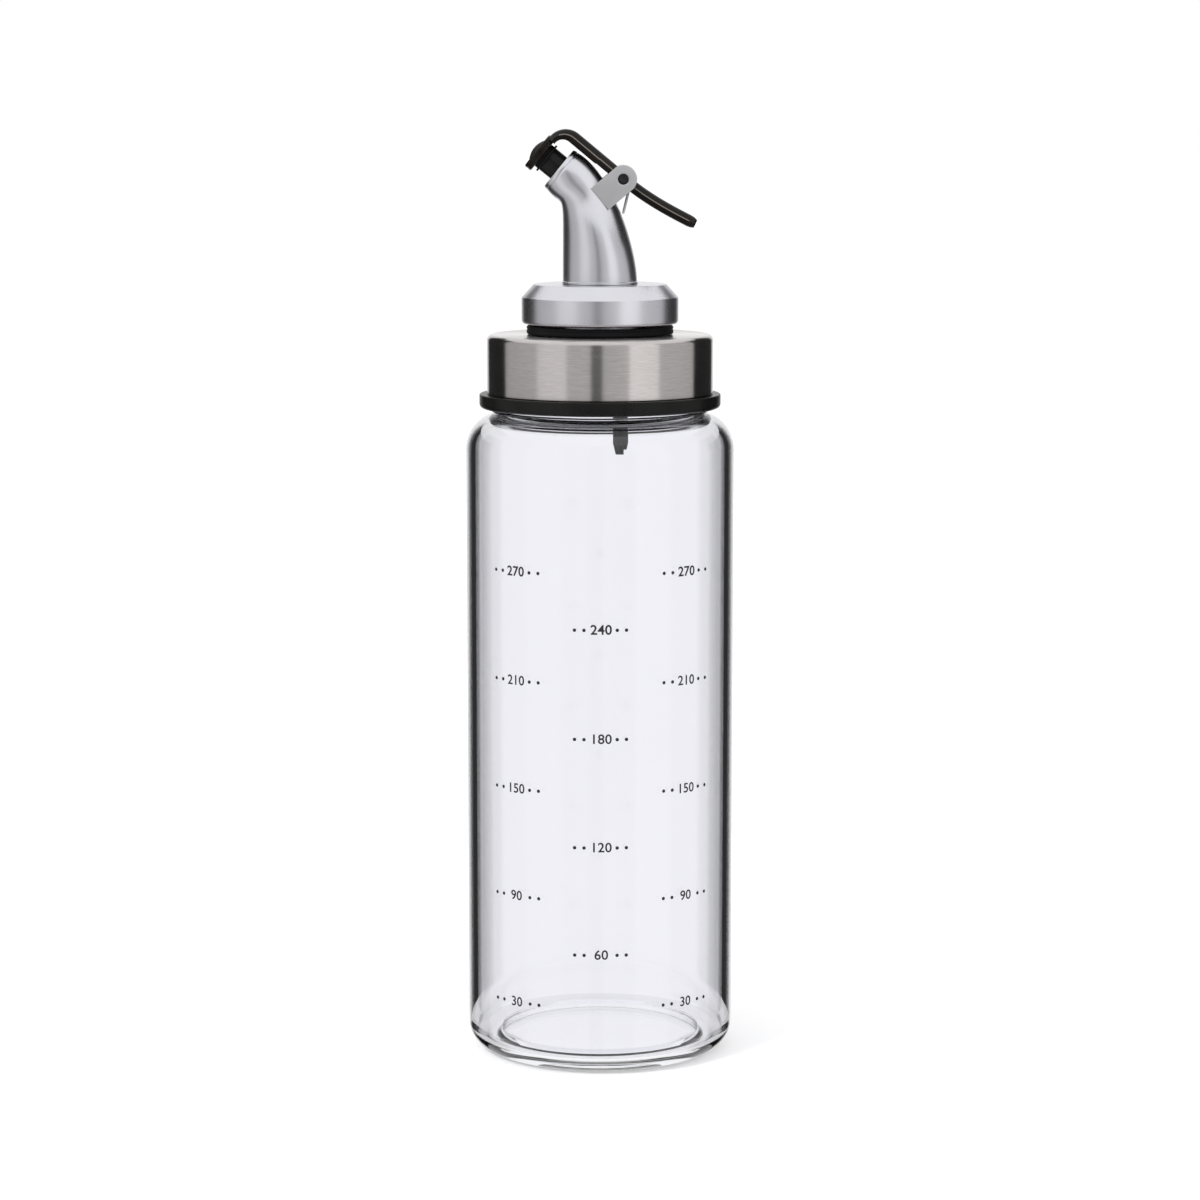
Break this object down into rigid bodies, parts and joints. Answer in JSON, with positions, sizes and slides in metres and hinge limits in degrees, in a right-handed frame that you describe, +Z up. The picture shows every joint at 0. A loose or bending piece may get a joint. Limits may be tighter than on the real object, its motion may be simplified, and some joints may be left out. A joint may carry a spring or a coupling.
{
  "type": "oil bottle with lever pouring spout",
  "caption": "Clear glass kitchen oil bottle with a printed scale, a screwed steel lid and a plug-in spout whose lever lifts a seal off the nozzle.",
  "frame": {"origin": "centre of the base on the surface that the bottle stands on", "axes": "+Z up along the bottle's axis, the spout pours towards -X, the thumb end of the lever points to +X"},
  "size_m": [0.06, 0.06, 0.2079],
  "materials": {
    "clear_glass": "clear polished soda-lime glass with a printed millilitre scale",
    "black_plastic": "moulded black plastic, satin gloss",
    "brushed_steel": "stainless steel brushed round the lid",
    "silicone": "translucent white silicone, matte",
    "black_rubber": "soft black rubber, matte",
    "satin_plating": "satin silver plating on cast zinc",
    "dark_nozzle": "glossy black tube",
    "vent_plastic": "smooth black plastic tube",
    "thin_steel": "drawn steel tube",
    "lever_plastic": "glossy black moulded plastic",
    "black_pin": "blackened steel pin",
    "spring_steel": "bright spring wire"
  },
  "bodies": {
    "bottle": {"glass_bottle": "clear_glass"},
    "gasket": {"lid_gasket": "silicone"},
    "lid": {"lid_shell": "brushed_steel", "lid_liner": "black_plastic"},
    "stopper": {"stopper_sleeve": "black_rubber"},
    "spout": {"spout_body": "satin_plating", "spout_collar": "satin_plating", "stopper_core": "satin_plating", "core_oring": "black_rubber", "nozzle_tube": "dark_nozzle", "vent_tube": "vent_plastic", "vent_riser": "thin_steel", "pivot_pin": "black_pin", "return_spring": "spring_steel"},
    "lever": {"lever": "lever_plastic", "tip_seal": "black_rubber"}
  },
  "joints": [
    {"name": "lid_rise", "type": "slide", "parent": "bottle", "child": "gasket", "axis": [0, 0, 1], "range_m": [0, 0.0141]},
    {"name": "lid_turn", "type": "hinge", "parent": "gasket", "child": "lid", "pos_m": [0, 0, 0.15], "axis": [0, 0, 1], "range_deg": [0, 1440]},
    {"name": "spout_lift", "type": "slide", "parent": "lid", "child": "stopper", "axis": [0, 0, 1], "range_m": [0, 0.03]},
    {"name": "spout_swivel", "type": "hinge", "parent": "stopper", "child": "spout", "pos_m": [0, 0, 0.16], "axis": [0, 0, 1], "continuous": true},
    {"name": "lever_press", "type": "hinge", "parent": "spout", "child": "lever", "pos_m": [0.00515, 0, 0.19695], "axis": [0, 1, 0], "range_deg": [0, 30], "stiffness_Nm_per_rad": 0.05, "springref_deg": -40.11, "deforming": ["return_spring"]}
  ],
  "couplings": [
    {"joint": "lid_rise", "follows": "lid_turn", "m_per_rad": 0.00055704}
  ]
}
